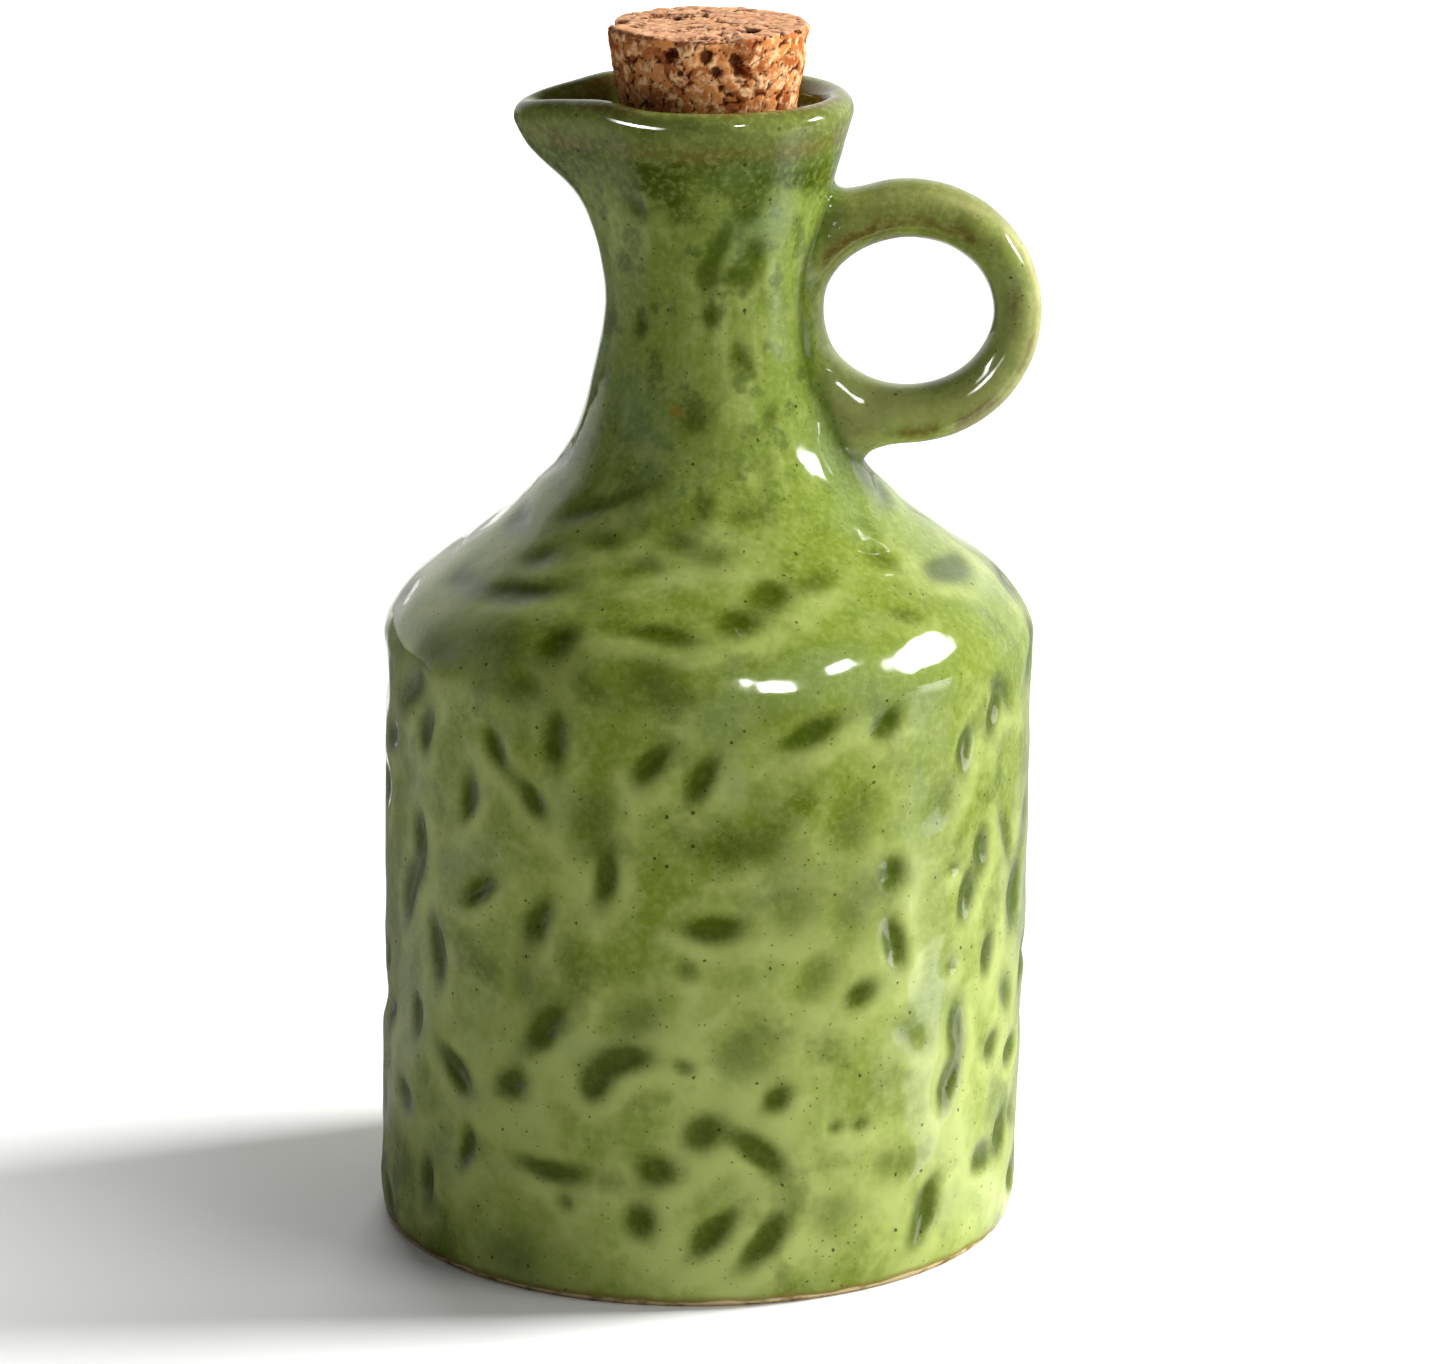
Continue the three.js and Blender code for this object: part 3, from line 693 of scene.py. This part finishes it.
ragged_wear = times(tree, worn, between(tree, cloud(tree, place, 190, 3), *WORN_RAGGED))
brown = mixed(tree, on_handle, GLAZE_BROWN, GLAZE_COIL_BROWN)
colour = mixed(tree, times(tree, ragged_wear, WORN_BROWN), colour, brown)
grain_shown = minus(tree, GRAIN_STRENGTH, times(tree, deep, GRAIN_LOST_IN_POOL))
colour = mixed(tree, between(tree, fine, *GRAIN, 0, grain_shown), colour, GLAZE_LIGHT)
# The coil's right outer edge goes pale: partly thin glaze, partly painted light.
pale = times(tree, lit_crest, between(tree, middling, *CREST_PATCHES))
colour = mixed(tree, pale, colour, CREST_PALE_AND_LIT)

# Each kind of iron speck: how many places to the metre there are for one, the share of them that stays empty,
# the widest speck as a share of a place, and how dark it is.
speck_place = shaken(tree, place, 2600, 0.0005)
for scale, empty, widest, strength in SPECKS:
    cells = add(tree, "TexVoronoi", {"Vector": speck_place, "Scale": scale})
    chance = add(tree, "SeparateColor", {0: cells.outputs["Color"]}).outputs[0]
    speck_size = between(tree, chance, empty, 1.0, 0, widest)
    speck = between(tree, minus(tree, speck_size, cells.outputs["Distance"]), 0, SPECK_EDGE)
    colour = mixed(tree, times(tree, speck, strength), colour, IRON)
rust_off = add(tree, "VectorMath", {0: place, 1: RUST_SPOT}, operation="DISTANCE").outputs["Value"]
rust_off = plus(tree, rust_off, times(tree, middling, RUST_RAGGED))
colour = mixed(tree, between(tree, rust_off, *RUST_EDGE), colour, RUST)

foot_wave = times(tree, minus(tree, cloud(tree, place, 130, 3), 0.5), FOOT_WAVE)
ragged = plus(tree, height, foot_wave)
colour = mixed(tree, between(tree, ragged, *FOOT_BURNT), colour, CLAY_BURNT)
bare = between(tree, ragged, *FOOT_BARE)
clay = mixed(tree, between(tree, mottle, *CLAY_PATCHES), CLAY, CLAY_BURNT)
colour = mixed(tree, bare, colour, clay)
tree.links.new(colour, shader.inputs["Base Color"])
tree.links.new(between(tree, bare, 0, 1, GLAZE_ROUGHNESS, CLAY_ROUGHNESS), shader.inputs["Roughness"])
swell = plus(tree, cloud(tree, place, 210, 1), times(tree, bare, times(tree, fine, CLAY_GRAIN)))
bump = add(tree, "Bump", {"Height": swell, "Strength": 0.4, "Distance": 0.00028})
tree.links.new(bump.outputs[0], shader.inputs["Normal"])
shader.inputs["IOR"].default_value = 1.52
bottle.data.materials.clear()
bottle.data.materials.append(glaze)
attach(bottle, "root")
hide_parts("bottle")

# The cork
# A tapered stopper pressed from cork granules and turned to shape. Dark seams run between the granules, pits
# show where some fell out and are darkened with painted shade, the top edge is chipped, and the top is
# sanded paler.
CORK_TOP = 174.2
CORK_TOP_RADIUS = 14.33
CORK_EDGE = 0.55
CORK_BOTTOM = 146.7
CORK_BOTTOM_RADIUS = 9.25
CORK_WAIST = (13.4, 167)
CORK_ROW = 0.33
CORK_AROUND = 270
CORK_TOP_RINGS = 42
CORK_UNDER_RINGS = 14
GRANULE = 2.7
GRANULE_BENT = 0.9
BENDS = 0.5
BEND_SEED = 7
GRANULE_STEP = 0.22
KINDS = 37.7
KIND_SHIFT = Vector((5.5, 1.5, 9.5))
PIT_DEPTH = 0.95
PIT_CHANCE = 0.09
PIT_WALL = 0.3
SEAM_DEPTH = 0.35
SEAM_NARROW = 0.08
SEAM_WIDER = 0.3
SEAM_PATCHES = 0.8
SEAM_SHIFT = Vector((3, 9, 1))
SEAM_OFTEN = 0.15
CORK_ROUGH = 0.12
CORK_ROUGH_PATCHES = 1.9
# Chips and holes: where each lies and how wide it is, and for a chip how deep.
CHIPS = (((-14.4, 2.0, 173.6), 2.2, 1.3), ((-4.4, -13.6, 174.0), 1.6, 0.9),
         ((2.2, -14.2, 172.6), 1.9, 1.5))
HOLES = (((-5.0, -13.3, 171.8), 0.9), ((-0.3, -14.1, 171.3), 1.0), ((1.1, -13.9, 169.3), 0.8),
         ((4.0, -13.7, 170.8), 0.9), ((1.8, -13.6, 166.9), 0.6), ((-4.0, -13.3, 169.0), 0.5),
         ((-10.5, -3.0, 174.2), 0.9), ((-7.6, 5.0, 174.2), 0.8))
HOLE_DEPTH = 0.8
# Painted shade: how dark the holes are.
HOLE_SHADE = 1.3
HOLE_RAGGED = 0.45
HOLE_PATCHES = 1.3
SHOWN_FROM = 2

side = smooth_line([(CORK_BOTTOM_RADIUS, CORK_BOTTOM + CORK_EDGE), CORK_WAIST,
                    (CORK_TOP_RADIUS, CORK_TOP - CORK_EDGE)], CORK_ROW)
top = [(r, CORK_TOP) for r in np.linspace(CORK_TOP_RADIUS - CORK_EDGE, 0, CORK_TOP_RINGS)]
under = [(r, CORK_BOTTOM) for r in np.linspace(0, CORK_BOTTOM_RADIUS - CORK_EDGE, CORK_UNDER_RINGS)]
cork = piece("cork_stopper", spun(np.vstack([under, side, top]), CORK_AROUND))
p = places(cork.data)
normals = np.empty(p.size)
cork.data.vertices.foreach_get("normal", normals)
sunk = np.zeros(len(p))
traits = {"seam": np.zeros(len(p)), "granule": np.zeros(len(p)), "pit": np.zeros(len(p))}
noise.seed_set(BEND_SEED)
for i, place in enumerate(map(Vector, p)):
    bent = place + noise.noise_vector(place * BENDS) * GRANULE_BENT
    away, cells = noise.voronoi(bent / GRANULE, distance_metric="DISTANCE")
    kind = noise.cell(cells[0] * KINDS + KIND_SHIFT)
    kind = kind - math.floor(kind)
    wide = SEAM_WIDER * max(0, noise.noise(place * SEAM_PATCHES + SEAM_SHIFT) + SEAM_OFTEN)
    to_edge = away[1] - away[0]
    seam_share = (1 - min(1, to_edge / (SEAM_NARROW + wide))) ** 2
    pit = min(1, max(0, to_edge / PIT_WALL)) if kind < PIT_CHANCE else 0
    traits["seam"][i] = seam_share
    traits["granule"][i] = kind
    traits["pit"][i] = pit
    rough = CORK_ROUGH * noise.noise(place * CORK_ROUGH_PATCHES)
    sunk[i] = SEAM_DEPTH * seam_share + PIT_DEPTH * pit + GRANULE_STEP * kind + rough
for at, size, deep in CHIPS:
    off = np.linalg.norm(p - np.array(at), axis=1)
    sunk += deep * np.exp(-(off / size) ** 2)
hole_edges = 1 + HOLE_RAGGED * np.array([noise.noise(Vector(place) * HOLE_PATCHES) for place in p])
for at, size in HOLES:
    off = np.linalg.norm(p - np.array(at), axis=1)
    hole = np.exp(-(off / (size * hole_edges)) ** 4)
    traits["pit"] = np.maximum(traits["pit"], HOLE_SHADE * hole)
    sunk += HOLE_DEPTH * hole
shown = np.clip((p[:, 2] - CORK_BOTTOM) / SHOWN_FROM, 0, 1)
p = p - normals.reshape(-1, 3) * (sunk * shown)[:, None]
set_places(cork.data, p * MM)
set_traits(cork.data, traits)
cork.data.shade_smooth()

CORK_PALE = rgb(250, 202, 150)
CORK_TAN = rgb(216, 142, 84)
CORK_RED = rgb(152, 80, 38)
CORK_DARK = rgb(58, 10, 0)
CORK_SANDED = rgb(198, 160, 130)
# Ranges as for the glaze.
KIND_TONES = (0.05, 0.95)
FLECKS = (0.45, 0.68)
RED_PATCHES = (0.5, 0.75, 0, 0.4)
SANDED_TOP = (0.5, 0.95, 0, 0.6)
RED_GRAIN = (0.52, 0.76, 0, 0.75)
SEAM_DARK = (0.1, 0.8, 0, 0.92)
# Painted shade in the pits and holes.
PIT_SHADE = (0.1, 0.9, 0, 0.9)
cork_wood, tree, shader = fresh("cork")
place = add(tree, "TexCoord").outputs["Object"]
seam_share, kind, pit = (attribute(tree, name) for name in traits)
upward = add(tree, "SeparateXYZ", {0: add(tree, "NewGeometry").outputs["Normal"]}).outputs["Z"]
flecks = cloud(tree, place, 620, 3, 0.65, offset=0.4)
patches = cloud(tree, place, 210, offset=1.4)
grain = cloud(tree, place, 900, 3, 0.65)
colour = mixed(tree, between(tree, kind, *KIND_TONES), CORK_RED, CORK_TAN)
colour = mixed(tree, between(tree, flecks, *FLECKS), colour, CORK_PALE)
colour = mixed(tree, between(tree, patches, *RED_PATCHES), colour, CORK_RED)
colour = mixed(tree, between(tree, upward, *SANDED_TOP), colour, CORK_SANDED)
colour = mixed(tree, between(tree, grain, *RED_GRAIN), colour, CORK_RED)
colour = mixed(tree, between(tree, seam_share, *SEAM_DARK), colour, CORK_DARK)
# Painted shade: the pits and holes go dark.
colour = mixed(tree, between(tree, pit, *PIT_SHADE), colour, CORK_DARK)
tree.links.new(colour, shader.inputs["Base Color"])
shader.inputs["Roughness"].default_value = 1.0
shader.inputs["Specular IOR Level"].default_value = 0.02
bump = add(tree, "Bump", {"Height": grain, "Strength": 0.6, "Distance": 0.00025})
tree.links.new(bump.outputs[0], shader.inputs["Normal"])
cork.data.materials.append(cork_wood)
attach(cork, "root")
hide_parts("cork")

# The studio
# A plain white floor under a key light from the right, whose shadow falls to the left. The gloss sees the
# floor beside and behind the bottle, a dark front, a white back, and small soft boxes close by.
FLOOR_HALF = 6.0
FLOOR_WHITE = ((0.89, 0.89, 0.88, 1), (0.91, 0.91, 0.90, 1))
FLOOR_PATCHES = (0.3, 0.7)
# What the floor throws back on to the bottle: less on the left, where the wall is darker.
THROWN_BACK = ((0.63, 0.63, 0.62, 1), (0.85, 0.85, 0.84, 1))
THROWN_FROM = (-0.06, 0.06)
# The floor's tone in the gloss, by the direction in degrees from the front, positive to the right.
FLOOR_IN_GLOSS = ((-180, 0.8), (-158, 0.8), (-152, 0.1), (-128, 0.1), (-122, 0.24), (-76, 0.2), (-64, 0.02),
                  (60, 0.02), (72, 0.72), (84, 0.72), (94, 0.22), (166, 0.3), (180, 0.9))
GLOSS_YELLOW = 0.97

form = bmesh.new()
bmesh.ops.create_grid(form, x_segments=1, y_segments=1, size=FLOOR_HALF)
floor = piece("floor", form)
paper, tree, shader = fresh("paper")
place = add(tree, "TexCoord").outputs["Object"]
split = add(tree, "SeparateXYZ", {0: place}).outputs
toward_front = times(tree, split["Y"], -1.0)
around = add(tree, "Math", {0: split["X"], 1: toward_front}, operation="ARCTAN2").outputs[0]
turned = add(tree, "MapRange", {"Value": around, "From Min": -math.pi, "From Max": math.pi})
ramp = add(tree, "ValToRGB", {0: turned.outputs["Result"]})
stops = ramp.color_ramp.elements
for degrees, _ in FLOOR_IN_GLOSS[1:-1]:
    stops.new(0.5 + degrees / 360)
for stop, (_, tone) in zip(stops, FLOOR_IN_GLOSS):
    stop.color = (tone, tone, tone * GLOSS_YELLOW, 1)
path = add(tree, "LightPath").outputs
paper_white = mixed(tree, between(tree, cloud(tree, place, 3), *FLOOR_PATCHES), *FLOOR_WHITE)
thrown_back = mixed(tree, between(tree, split["X"], *THROWN_FROM), *THROWN_BACK)
seen = mixed(tree, path["Is Diffuse Ray"], paper_white, thrown_back)
in_gloss = mixed(tree, path["Is Glossy Ray"], seen, ramp.outputs["Color"])
tree.links.new(in_gloss, shader.inputs["Base Color"])
shader.inputs["Roughness"].default_value = 0.9
shader.inputs["Specular IOR Level"].default_value = 0.1
floor.data.materials.append(paper)


def soft_box(name, direction, distance, aim, size, power, shown_in, spread=180):
    """A light in a direction from the point that it is aimed at, seen by the gloss or by matt surfaces."""
    light = bpy.data.lights.new(name, "AREA")
    light.shape = "RECTANGLE"
    light.size, light.size_y = size
    light.energy = power
    light.spread = math.radians(spread)
    made = bpy.data.objects.new(name, light)
    toward = Vector(direction).normalized()
    made.location = Vector(aim) + toward * distance
    made.rotation_euler = (-toward).to_track_quat("-Z", "Y").to_euler()
    made.visible_camera = False
    made.visible_glossy = "gloss" in shown_in
    made.visible_diffuse = "matt" in shown_in
    bpy.context.scene.collection.objects.link(made)


MIDDLE = (0, 0, 0.09)
soft_box("key", (0.976, 0.22, 0.75), 6.0, MIDDLE, (1.7, 1.7), 600, "matt")
soft_box("fill", (0.88, -0.40, 0.28), 2.4, MIDDLE, (1.2, 1.2), 26, "matt")
soft_box("far_floor", (0, 0, 1), 0.4, (-0.21, -0.03, 0), (0.02, 0.02), 0.055, "matt", 41)
soft_box("back", (-0.08, 0.9, 0.5), 2.4, MIDDLE, (1.2, 1.2), 30, "matt")
# Where each highlight lies, in millimetres, the direction that it comes from, the box's distance, its width
# and height in millimetres, how bright it is head on, and its spread in degrees.
HIGHLIGHTS = {
    "shoulder_right": ((28.5, -32.6, 92), (0.81, 0.10, 0.575), 80, (78, 28), 110, 34),
    "shoulder_middle": ((18.5, -39.8, 92), (0.60, -0.31, 0.74), 80, (17, 8), 110, 15),
    "shoulder_front": ((8.6, -43.5, 91), (0.31, -0.66, 0.68), 80, (25, 18), 110, 20),
    "lip_left": ((-11, -17, 163), (-0.80, -0.52, 0.26), 80, (130, 17), 60, 46),
    "lip_front": ((4.4, -19.7, 163), (0.38, -0.70, 0.60), 80, (14, 7), 70, 20),
    "lip_right": ((15, -14, 163), (0.94, 0.12, 0.30), 80, (22, 14), 50, 20),
    "wall_right": ((35, -28, 35), (0.93, -0.10, 0.22), 150, (36, 70), 8, 60),
    "wall_low": ((31, -34.5, 27), (0.985, -0.06, -0.20), 42, (15, 36), 2.3, 110),
    "handle_outside": ((43.5, -3, 142), (0.90, 0.05, 0.38), 55, (11, 34), 50, 19),
    "handle_inside": ((39, -4.3, 124), (-0.36, -0.92, 0.17), 100, (36, 22), 45, 18),
    "handle_root": ((20.5, -5, 122), (0.60, -0.50, 0.62), 40, (9, 15), 50, 16),
    "handle_top": ((17.3, -4.5, 149), (0.50, -0.60, 0.62), 40, (6, 7), 40, 14),
}
for name, (aim, direction, distance, size, glow, spread) in HIGHLIGHTS.items():
    half = math.radians(spread) / 2
    power = glow * math.pi * size[0] * size[1] * MM ** 2 * (1 - half / math.tan(half))
    soft_box(name, direction, distance * MM, Vector(aim) * MM, Vector(size) * MM, power, "gloss", spread)

# The room is brighter to the right. In the gloss it is bright only behind the bottle, and most low down.
ROOM = (-0.2, 0.8, 0.12, 0.45)
ROOM_BEHIND = (0.2, 0.7, 0.05, 1.0)
ROOM_LOW = (0.4, 0.85, 1, 0.25)
ROOM_WHITE = (0.99, 1.0, 0.97, 1)
world = bpy.data.worlds.new("studio")
bpy.context.scene.world = world
world.use_nodes = True
tree = world.node_tree
direction = add(tree, "SeparateXYZ", {0: add(tree, "TexCoord").outputs["Generated"]}).outputs
path = add(tree, "LightPath").outputs
low = between(tree, direction["Z"], *ROOM_LOW)
behind = times(tree, between(tree, direction["Y"], *ROOM_BEHIND), low)
room = between(tree, direction["X"], *ROOM)
strength = add(tree, "Mix", {0: path["Is Glossy Ray"], 2: room, 3: behind}, data_type="FLOAT").outputs[0]
strength = add(tree, "Mix", {0: path["Is Camera Ray"], 2: strength, 3: 1.0}, data_type="FLOAT").outputs[0]
tree.links.new(strength, tree.nodes["Background"].inputs["Strength"])
tree.nodes["Background"].inputs["Color"].default_value = ROOM_WHITE
bpy.context.scene.view_settings.view_transform = "Standard"
